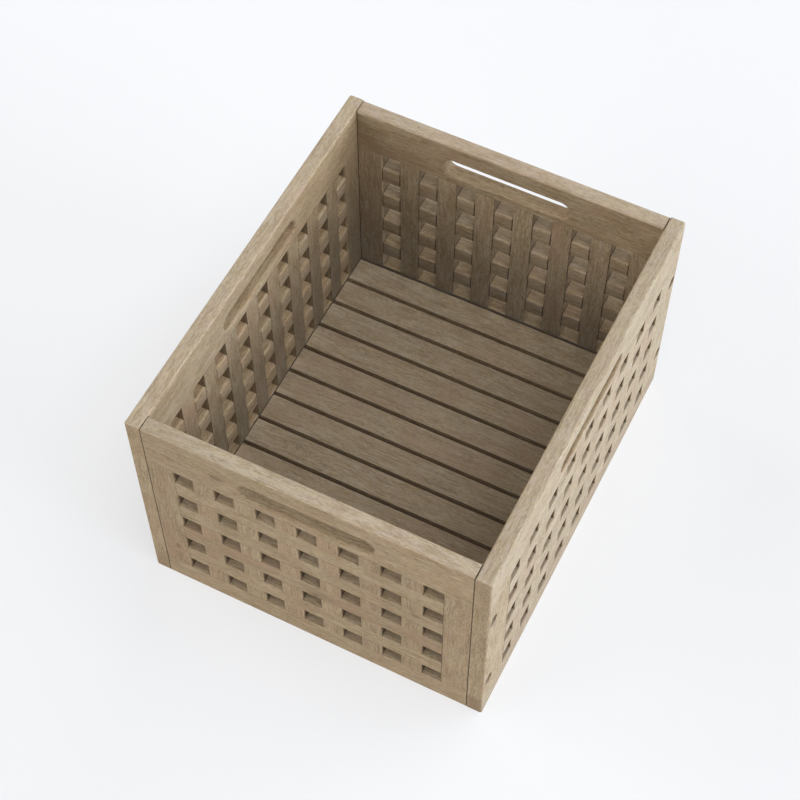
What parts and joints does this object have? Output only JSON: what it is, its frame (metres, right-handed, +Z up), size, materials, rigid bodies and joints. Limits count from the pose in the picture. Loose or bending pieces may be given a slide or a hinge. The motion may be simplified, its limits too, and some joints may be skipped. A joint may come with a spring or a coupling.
{
  "type": "storage bin",
  "caption": "Open rectangular storage bin of teak lattice panels with a hand slot in each top rail and a slatted floor.",
  "frame": {"origin": "on the ground, under the middle of the bin's outer outline", "axes": "+X to the right along the front panel, +Y from the front panel to the back panel, +Z up"},
  "size_m": [0.422, 0.5052, 0.311],
  "materials": {
    "weathered_teak": "weathered, unoiled",
    "dowel_wood": "plain hardwood",
    "stainless_steel": "satin",
    "brass": "turned"
  },
  "bodies": {
    "root": {"back_bottom_rail": "weathered_teak", "back_cross_slat_1": "weathered_teak", "back_cross_slat_2": "weathered_teak", "back_cross_slat_3": "weathered_teak", "back_cross_slat_4": "weathered_teak", "back_left_stile": "weathered_teak", "back_right_stile": "weathered_teak", "back_top_rail": "weathered_teak", "back_upright_slats": "weathered_teak", "cleat_screws": "stainless_steel", "corner_bolts": "stainless_steel", "corner_dowels": "dowel_wood", "floor_slat_01": "weathered_teak", "floor_slat_02": "weathered_teak", "floor_slat_03": "weathered_teak", "floor_slat_04": "weathered_teak", "floor_slat_05": "weathered_teak", "floor_slat_06": "weathered_teak", "floor_slat_07": "weathered_teak", "floor_slat_08": "weathered_teak", "floor_slat_09": "weathered_teak", "floor_slat_10": "weathered_teak", "floor_slat_11": "weathered_teak", "floor_slat_12": "weathered_teak", "floor_slat_screws": "stainless_steel", "front_bottom_rail": "weathered_teak", "front_cross_slat_1": "weathered_teak", "front_cross_slat_2": "weathered_teak", "front_cross_slat_3": "weathered_teak", "front_cross_slat_4": "weathered_teak", "front_left_stile": "weathered_teak", "front_right_stile": "weathered_teak", "front_top_rail": "weathered_teak", "front_upright_slats": "weathered_teak", "left_back_stile": "weathered_teak", "left_bottom_rail": "weathered_teak", "left_cross_slat_1": "weathered_teak", "left_cross_slat_2": "weathered_teak", "left_cross_slat_3": "weathered_teak", "left_cross_slat_4": "weathered_teak", "left_floor_cleat": "weathered_teak", "left_front_stile": "weathered_teak", "left_top_rail": "weathered_teak", "left_upright_slats": "weathered_teak", "right_back_stile": "weathered_teak", "right_bottom_rail": "weathered_teak", "right_cross_slat_1": "weathered_teak", "right_cross_slat_2": "weathered_teak", "right_cross_slat_3": "weathered_teak", "right_cross_slat_4": "weathered_teak", "right_floor_cleat": "weathered_teak", "right_front_stile": "weathered_teak", "right_top_rail": "weathered_teak", "right_upright_slats": "weathered_teak", "threaded_inserts": "brass"}
  },
  "joints": []
}
